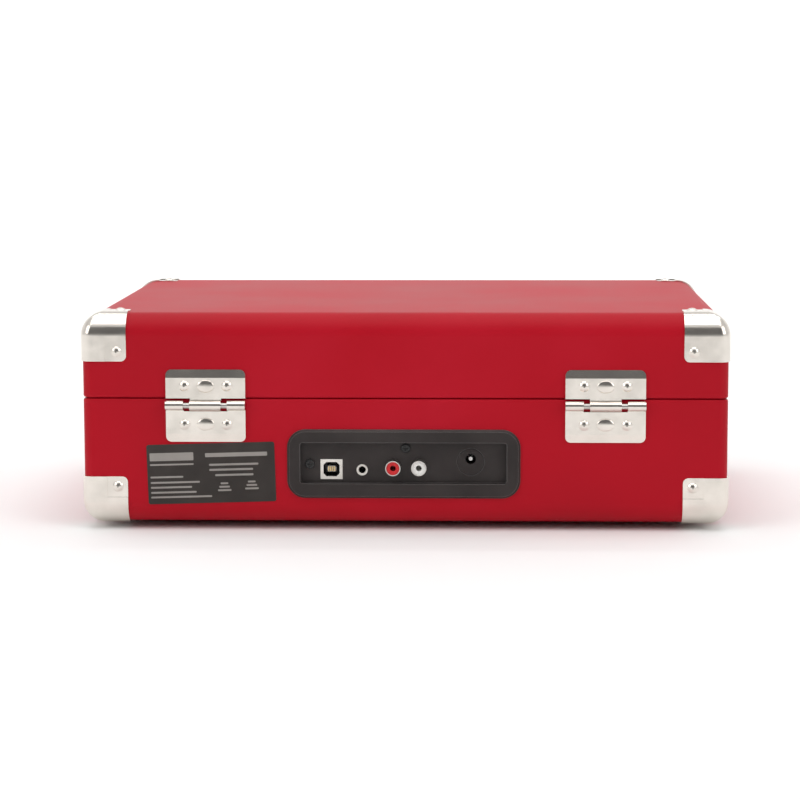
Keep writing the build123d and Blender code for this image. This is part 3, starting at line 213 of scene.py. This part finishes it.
def plated(name, colour, dull, low, high, brushed=(1, 1, 1), shade_behind=None, lit_spot=None):
    """Polished or brushed metal with faint ripples, smudges, and edges painted brighter as both wear and
    painted highlight.

    low and high bound its roughness. A socket's inside, behind the plane at the given depth, is painted
    dark and non-metal as shade, but for a lit_spot, given as round_spot takes it."""
    m = Recipe(name)
    smudge = m.noise(12 * MM, 4.0)
    streak = m.noise(1.6 * MM, 3.0, stretch=brushed)
    tone = m.mix(m.span(smudge, 0.0, 0.7), colour, dull)
    # Edges painted brighter, both as polished wear and as painted highlight.
    tone = m.mix(m.worn_and_lit_edges(0.5 * MM, 0.35, 0.85, 0.99), tone, shade(colour, 1.12))
    if shade_behind is None:
        m.set(Metallic=1.0)
    else:
        # Painted shade: the socket's inside is coloured dark and non-metal, where it lies in shadow.
        inside = m.deeper_than(shade_behind)
        tone = m.mix(inside, tone, SOCKET_SHADE)
        m.set(Metallic=m.span(inside, 1.0, 0.0, 0.0, 1.0))
    if lit_spot is not None:
        tone = m.mix(m.round_spot(*lit_spot), tone, TONGUE_GREY)
    m.set(Base_Color=tone, Roughness=m.span(smudge, low, high))
    m.bump(streak, 0.02 * MM, 0.12)
    m.bump(m.noise(11 * MM, 1.0), 0.4 * MM, 0.10)
    return m.material


def moulded(
    name, colour, low, high, grain=0.5 * MM, depth=0.02 * MM, spread=0.25, rub_and_highlight=0.25, pin=None, rim=None
):
    """Moulded plastic with a spark-eroded texture and edges painted lighter, both as rubbed wear and as
    painted highlight.

    low and high bound its roughness. A bright pin or a dark rim is an x, a z and a radius."""
    m = Recipe(name)
    tone = m.ramp(
        m.noise(30 * MM, 3.0), [(0.3, shade(colour, 1 - spread)), (0.7, shade(colour, 1 + spread, 0.006))]
    )
    # Edges painted lighter, partly as rubbed wear and partly as painted highlight.
    rubbed_and_lit = shade(colour, 1.6, 0.2 * rub_and_highlight - 0.03)
    tone = m.mix(m.worn_and_lit_edges(0.6 * MM, rub_and_highlight, 0.88, 0.99), tone, rubbed_and_lit)
    if rim is not None:
        x, z, radius = rim
        tone = m.mix(m.round_spot(x, z, radius, radius - 0.35 * MM), tone, RIM_DARK)
    if pin is not None:
        x, z, radius = pin
        spot = m.round_spot(x, z, radius, radius + 0.1 * MM)
        tone = m.mix(spot, tone, PIN_BRIGHT)
        m.set(Metallic=spot)
    m.set(Base_Color=tone, Roughness=m.span(m.noise(4 * MM, 3.0), low, high), Specular_IOR_Level=0.35)
    m.bump(m.noise(grain, 3.0), depth, 0.45)
    return m.material


def wood_board(name, deep, light):
    """Raw board with fibres along Z."""
    m = Recipe(name)
    fibres = m.noise(1.2 * MM, 6.0, 0.7, (1, 1, 0.25), 0.6)
    broad = m.noise(40 * MM, 3.0)
    tone = m.ramp(fibres, [(0.25, deep), (0.75, light)])
    tone = m.mix(m.span(broad, 0.0, 0.35), tone, deep)
    m.set(Base_Color=tone, Roughness=m.span(fibres, 0.72, 0.9))
    m.bump(fibres, 0.1 * MM, 0.5)
    return m.material


def cloth(name, deep, light, size=0.6 * MM, depth=0.2 * MM, sheen=0.5):
    """Felt or flock: short fibres that catch the light."""
    m = Recipe(name)
    fuzz = m.noise(size, 6.0, 0.75, distortion=0.8)
    broad = m.noise(30 * MM, 3.0)
    tone = m.ramp(fuzz, [(0.3, deep), (0.7, light)])
    tone = m.mix(m.span(broad, 0.0, 0.3), tone, deep)
    m.set(Base_Color=tone, Roughness=m.span(fuzz, 0.85, 1.0), Specular_IOR_Level=0.2)
    m.set(Sheen_Weight=sheen, Sheen_Roughness=0.5)
    m.bump(fuzz, depth, 0.6)
    return m.material


def laminate(name):
    """A green circuit board with etched tracks."""
    m = Recipe(name)
    tracks = m.cells(3.5 * MM, "DISTANCE_TO_EDGE")
    tone = m.ramp(tracks, [(0.05, (0.02, 0.10, 0.045)), (0.12, (0.035, 0.17, 0.075))])
    m.set(Base_Color=tone, Roughness=m.span(m.noise(10 * MM), 0.3, 0.45))
    m.bump(tracks, 0.04 * MM, 0.3)
    return m.material


CASE_REDS = ((0.40, 0.0015, 0.011), (0.44, 0.0012, 0.012), (0.47, 0.004, 0.018))
HANDLE_REDS = ((0.34, 0.003, 0.013), (0.45, 0.006, 0.022), (0.54, 0.012, 0.034))
BLACK = (0.024, 0.018, 0.017)
SOCKET_STEEL = ((0.74, 0.71, 0.66), (0.6, 0.58, 0.54), 0.22, 0.36)

MATERIALS = {
    "red_leatherette": leatherette("red_leatherette", *CASE_REDS),
    "handle_cover": leatherette("handle_cover", *HANDLE_REDS, grain=0.9 * MM),
    "nickel_plate": plated("nickel_plate", (0.83, 0.78, 0.72), (0.70, 0.66, 0.60), 0.14, 0.25),
    "steel": plated("steel", (0.66, 0.64, 0.61), (0.5, 0.49, 0.47), 0.22, 0.36, brushed=(1, 1, 6)),
    "black_steel": moulded("black_steel", (0.018, 0.018, 0.018), 0.28, 0.42, grain=0.9 * MM),
    "black_plastic": moulded("black_plastic", BLACK, 0.42, 0.56),
    "deck_plastic": moulded(
        "deck_plastic", (0.022, 0.022, 0.023), 0.46, 0.6, grain=0.7 * MM, depth=0.04 * MM
    ),
    "platter_plastic": moulded("platter_plastic", (0.03, 0.03, 0.03), 0.3, 0.42),
    "rubber": moulded("rubber", (0.02, 0.02, 0.02), 0.7, 0.85, grain=1.2 * MM, depth=0.04 * MM),
    "red_insulator": moulded("red_insulator", (0.55, 0.012, 0.016), 0.22, 0.34),
    "cartridge_red": moulded("cartridge_red", (0.50, 0.03, 0.02), 0.24, 0.34),
    "white_insulator": moulded("white_insulator", (0.80, 0.79, 0.76), 0.24, 0.36, spread=0.05),
    "board": wood_board("board", (0.28, 0.18, 0.10), (0.46, 0.33, 0.21)),
    "hardboard": wood_board("hardboard", (0.055, 0.03, 0.018), (0.12, 0.07, 0.04)),
    "lining": cloth("lining", (0.008, 0.008, 0.008), (0.03, 0.03, 0.03)),
    "felt": cloth("felt", (0.008, 0.008, 0.009), (0.035, 0.035, 0.038), 0.8 * MM, 0.3 * MM),
    "circuit_board": laminate("circuit_board"),
    "speaker_cone": cloth(
        "speaker_cone", (0.01, 0.01, 0.01), (0.04, 0.04, 0.04), 1.2 * MM, 0.1 * MM, sheen=0.1
    ),
    "label": moulded("label", (0.030, 0.024, 0.021), 0.42, 0.55),
    "print": moulded("print", (0.30, 0.28, 0.26), 0.45, 0.6, spread=0.1),
    "gold_contact": plated("gold_contact", (0.85, 0.62, 0.28), (0.7, 0.5, 0.22), 0.2, 0.3),
}

usb_low, usb_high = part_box("usb_socket")
usb_middle = (usb_low + usb_high) / 2
aux_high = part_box("aux_jack")[1]
dc_low, dc_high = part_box("dc_jack")
dc_middle = (dc_low + dc_high) / 2

USB_FACE_T, AUX_FACE_T = 0.5 * MM, 0.6 * MM  # how far in a socket's metal face goes, before its inside is painted dark as shade
TONGUE_R = 2.4 * MM
PIN_R, PIN_RISE = 1.15 * MM, 1.7 * MM  # the power inlet's pin sits above its middle

# The pieces on the back that look different from the rest of their slot.
OWN_FINISH = {
    "usb_socket": plated(
        "usb_steel", *SOCKET_STEEL, shade_behind=usb_high.y - USB_FACE_T,
        lit_spot=(usb_middle.x, usb_middle.z, TONGUE_R, TONGUE_R + 0.1 * MM),
    ),
    "aux_jack": plated("aux_steel", *SOCKET_STEEL, shade_behind=aux_high.y - AUX_FACE_T),
    "dc_jack": moulded(
        "inlet_plastic", BLACK, 0.42, 0.56,
        pin=(dc_middle.x, dc_middle.z + PIN_RISE, PIN_R),
        rim=(dc_middle.x, dc_middle.z, (dc_high.x - dc_low.x) / 2),
    ),
    # The bezel's edges are painted much lighter, mostly as painted highlight lines on its top edge and
    # recess lip.
    "connection_panel": moulded("panel_plastic", BLACK, 0.40, 0.54, rub_and_highlight=0.8),
}

for name, node in NODES.items():
    node.data.materials.clear()
    node.data.materials.append(OWN_FINISH.get(name) or MATERIALS[SLOT_OF[name]])


# ------------------------------------------------------------ mesh helpers

CORNER_STEPS = 4  # straight pieces in a bar's rounded corner
CHAMFER = 0.15  # a bar's top chamfer, as a share of its thickness
ROUNDEST = 0.98  # keeps a little flat between two corners of a full-round bar
PRINT_T = 0.02 * MM
PRINT_LIFT = 0.01 * MM  # from the printed face to the middle of the print


def piece(name, bm, material, body):
    """Ends a bmesh as a named piece that rides on a body."""
    mesh = bpy.data.meshes.new(name)
    bmesh.ops.recalc_face_normals(bm, faces=bm.faces)
    bm.to_mesh(mesh)
    bm.free()
    obj = bpy.data.objects.new(name, mesh)
    bpy.context.scene.collection.objects.link(obj)
    mesh.materials.append(MATERIALS[material])
    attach(obj, body)


def bridge(bm, rings):
    """Joins each closed ring of vertices to the next with quads."""
    for low, high in zip(rings, rings[1:]):
        for i, j in zip(range(len(low)), [*range(1, len(low)), 0]):
            bm.faces.new((low[i], low[j], high[j], high[i]))


def rounded_bar(bm, centre, size, radius, axis="Y"):
    """A flat bar with rounded corners. Seen along the axis, size is its width, height and thickness."""
    w, h, t = size
    r = min(radius, w / 2 * ROUNDEST, h / 2 * ROUNDEST)
    outline = []
    for corner, (sx, sy) in enumerate(((1, 1), (-1, 1), (-1, -1), (1, -1))):
        for i in range(CORNER_STEPS + 1):
            a = (corner + i / CORNER_STEPS) * pi / 2
            outline.append((sx * (w / 2 - r) + r * cos(a), sy * (h / 2 - r) + r * sin(a)))
    chamfer = CHAMFER * t
    rings = []
    for inset, depth in ((0.0, -t / 2), (0.0, t / 2 - chamfer), (chamfer, t / 2)):
        ring = []
        for u, v in outline:
            u -= inset * (1 if u > 0 else -1)
            v -= inset * (1 if v > 0 else -1)
            p = Vector((u, depth, v)) if axis == "Y" else Vector((u, v, depth))
            ring.append(bm.verts.new(p + centre))
        rings.append(ring)
    bridge(bm, rings)
    bm.faces.new(rings[0])
    bm.faces.new(rings[-1])


# ------------------------------------------------------------ details on top of the CAD pieces

LABEL_TILT = radians(1.7)
# Bars in place of the label's lettering, in mm from its middle: across, up, width, height.
LABEL_BARS = (
    (21.5, 9.6, 24.0, 4.4), (21.5, 5.3, 24.0, 0.9), (-14.0, 10.0, 34.0, 2.2),
    (-12.5, 4.6, 27.0, 1.1), (-11.0, 1.8, 24.0, 1.1), (-12.6, -1.2, 21.0, 1.1),
    (24.5, -1.6, 18.0, 1.0), (20.0, -4.6, 27.0, 1.0), (22.2, -7.3, 22.6, 1.0),
    (21.0, -10.1, 25.0, 1.0), (16.8, -12.7, 33.5, 1.0),
)
# Two stacks of three bars, each bar shorter than the one below.
STACKS, STACK_PITCH, STACK_W, STACK_STEP = ((-7.0, -9.6), (-22.0, -9.0)), 1.9, 7.4, 1.6

CONTACTS, CONTACT_PITCH, CONTACT_DEEP = 4, 1.1 * MM, 1.6 * MM
CONTACT_SIZE = (0.5 * MM, 2.6 * MM, 0.3 * MM)

DOTS, DOT_START, DOT_STEP, DOT_GAP = 11, -50, 28, 3 * MM
SLIDER_MARKS, MARK_PITCH, MARK_GAP = (("speed_slider", 3), ("auto_stop_slider", 2)), 6 * MM, 4 * MM
MARK_SIZE = (3.2 * MM, 0.6 * MM, PRINT_T)


def label_print():
    """Generic bars and lines on the rating label, tilted as the label is."""
    low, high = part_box("rating_label")
    centre = (low + high) / 2
    stacked = [
        (u, v + STACK_PITCH * i, STACK_W - STACK_STEP * i, 1.0) for u, v in STACKS for i in range(3)
    ]
    bm = bmesh.new()
    for u, v, width, height in (*LABEL_BARS, *stacked):
        rounded_bar(bm, Vector((u * MM, 0, v * MM)), (width * MM, height * MM, PRINT_T), 0.4 * MM)
    bmesh.ops.rotate(bm, verts=bm.verts, cent=(0, 0, 0), matrix=Matrix.Rotation(LABEL_TILT, 3, "Y"))
    bmesh.ops.translate(bm, verts=bm.verts, vec=(centre.x, high.y + PRINT_LIFT, centre.z))
    piece("label_marks", bm, "print", "base")


def usb_contacts():
    """The contacts on the tongue of the USB socket."""
    bm = bmesh.new()
    for i in range(CONTACTS):
        x = usb_middle.x + (i - (CONTACTS - 1) / 2) * CONTACT_PITCH
        rounded_bar(bm, Vector((x, usb_high.y - CONTACT_DEEP, usb_middle.z)), CONTACT_SIZE, 0.1 * MM)
    piece("usb_contacts", bm, "gold_contact", "base")


def deck_marks():
    """Dots round the volume knob, and ticks beside the sliders, in place of any lettering."""
    bm = bmesh.new()
    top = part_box("deck_plate")[1].z + PRINT_LIFT
    low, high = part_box("volume_knob")
    hub = (low + high) / 2
    reach = (high.x - low.x) / 2 + DOT_GAP
    for i in range(DOTS):
        a = radians(DOT_START + DOT_STEP * i)
        spot = Vector((hub.x + reach * cos(a), hub.y + reach * sin(a), top))
        dot = (0.7 + 0.05 * i) * MM
        rounded_bar(bm, spot, (dot, dot, PRINT_T), dot / 2, axis="Z")
    for slider, count in SLIDER_MARKS:
        low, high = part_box(slider)
        for i in range(count):
            at = Vector((low.x - MARK_GAP, (low.y + high.y) / 2 + i * MARK_PITCH, top))
            rounded_bar(bm, at, MARK_SIZE, 0.25 * MM, axis="Z")
    piece("deck_marks", bm, "print", "base")


label_print()
usb_contacts()
deck_marks()


# ------------------------------------------------------------ stage, light, camera

INNER_R, FLOOR_R, BEND_R, WALL_TOP = 0.6, 3.0, 2.0, 4.0
BEND_STEPS, AROUND = 12, 96
DIM_FROM, DIM_TO = 2.0, 4.2  # along Y, where the stage turns dark so that the red stays deep
CASE_MIDDLE = (0, 0, 0.06)
AIR_COLOUR, AIR_STRENGTH = (1.0, 0.99, 0.98, 1), 0.68


def stage_bowl():
    """A pale floor that curves up into a wall all round, darker behind the camera."""
    profile = [(INNER_R, 0.0), (FLOOR_R, 0.0)]
    for i in range(1, BEND_STEPS + 1):
        a = i / BEND_STEPS * pi / 2
        profile.append((FLOOR_R + BEND_R * sin(a), BEND_R * (1 - cos(a))))
    profile.append((FLOOR_R + BEND_R, WALL_TOP))
    bm = bmesh.new()
    angles = [2 * pi * i / AROUND for i in range(AROUND)]
    rings = [[bm.verts.new((r * cos(a), r * sin(a), z)) for a in angles] for r, z in profile]
    middle = bm.verts.new((0, 0, 0))
    for i in range(AROUND):
        bm.faces.new((middle, rings[0][i], rings[0][(i + 1) % AROUND]))
    bridge(bm, rings)
    bmesh.ops.recalc_face_normals(bm, faces=bm.faces)
    mesh = bpy.data.meshes.new("studio_floor")
    bm.to_mesh(mesh)
    bm.free()
    floor = bpy.data.objects.new("studio_floor", mesh)
    bpy.context.scene.collection.objects.link(floor)
    for face in mesh.polygons:
        face.use_smooth = True
    m = Recipe("studio_paper")
    split = m.node("ShaderNodeSeparateXYZ")
    m.link(m.place, split.inputs["Vector"])
    far_side = m.span(split.outputs["Y"], 0.0, 1.0, DIM_FROM, DIM_TO)
    paper = m.ramp(m.noise(0.7, 2.0), [(0.3, (0.93, 0.93, 0.93)), (0.7, (0.95, 0.95, 0.95))])
    m.set(Base_Color=m.mix(far_side, paper, (0.20, 0.20, 0.20)))
    m.set(Roughness=m.span(m.noise(0.02), 0.85, 0.95), Specular_IOR_Level=0.1)
    mesh.materials.append(m.material)


def soft_light(name, at, aim, size, power):
    """A rectangular area light that faces the point aim."""
    lamp = bpy.data.lights.new(name, "AREA")
    lamp.shape = "RECTANGLE"
    lamp.size, lamp.size_y = size
    lamp.energy = power
    obj = bpy.data.objects.new(name, lamp)
    bpy.context.scene.collection.objects.link(obj)
    obj.location = at
    obj.rotation_euler = (Vector(aim) - Vector(at)).to_track_quat("-Z", "Y").to_euler()


stage_bowl()
scene = bpy.context.scene
scene.view_settings.view_transform = "Standard"
scene.world = bpy.data.worlds.new("studio_air")
scene.world.use_nodes = True
air = scene.world.node_tree.nodes["Background"].inputs
air["Color"].default_value = AIR_COLOUR
air["Strength"].default_value = AIR_STRENGTH
soft_light("overhead_box", (0.0, 0.5, 2.4), CASE_MIDDLE, (2.4, 2.4), 24)
soft_light("left_box", (2.0, 1.9, 1.3), CASE_MIDDLE, (1.5, 1.8), 15)
soft_light("right_box", (-2.0, 1.9, 1.3), CASE_MIDDLE, (1.5, 1.8), 15)
soft_light("backdrop_box", (0.0, -1.6, 3.4), (0, -5.0, 0.8), (4.0, 1.2), 75)

# The camera stands behind the case and looks at its back, as in the photo.
CAMERA_X, CAMERA_BACK, CAMERA_UP = -0.0465, 1.3425, 0.238  # from the middle, the back and the bottom
PITCH, YAW, ROLL = radians(-7.19), radians(2.08), radians(0.14)
case_low, case_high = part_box("base_leatherette")
turn = (
    Matrix.Rotation(pi, 3, "Z")
    @ Matrix.Rotation(YAW, 3, "Z")
    @ Matrix.Rotation(PITCH, 3, "X")
    @ Matrix.Rotation(ROLL, 3, "Y")
)
right, forward, up = (turn.col[i] for i in range(3))
camera = bpy.data.objects.new("camera", bpy.data.cameras.new("camera"))
scene.collection.objects.link(camera)
camera.data.lens = 112.02
camera.data.sensor_width = 36.0
camera.matrix_world = Matrix.LocRotScale(
    Vector((CAMERA_X, case_high.y + CAMERA_BACK, case_low.z + CAMERA_UP)),
    Matrix((right, up, -forward)).transposed().to_quaternion(),
    None,
)
scene.camera = camera
